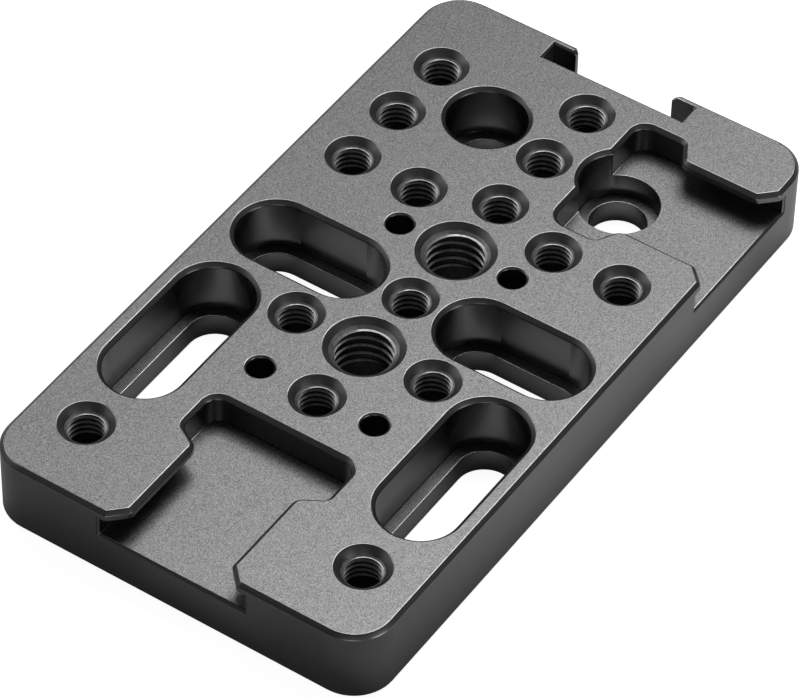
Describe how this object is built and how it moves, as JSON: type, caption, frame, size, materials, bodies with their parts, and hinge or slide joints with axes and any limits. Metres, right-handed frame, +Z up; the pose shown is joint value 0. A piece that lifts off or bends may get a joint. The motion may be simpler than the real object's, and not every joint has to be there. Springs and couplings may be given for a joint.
{
  "type": "camera cheese plate",
  "caption": "Flat milled aluminium plate with threaded holes, counterbored screw slots, locating holes and T-slots at its edges, for building camera rigs.",
  "frame": {"origin": "centre of the underside", "axes": "+Y along the length, towards the edge that the through T-slot crosses; +Z up, out of the face with the counterbores; +X towards the edge that the side T-slot opens at"},
  "size_m": [0.0666, 0.12, 0.013],
  "materials": {
    "plate": "bead-blasted, dark grey anodised"
  },
  "bodies": {
    "root": {"cheese_plate": "plate"}
  },
  "joints": []
}
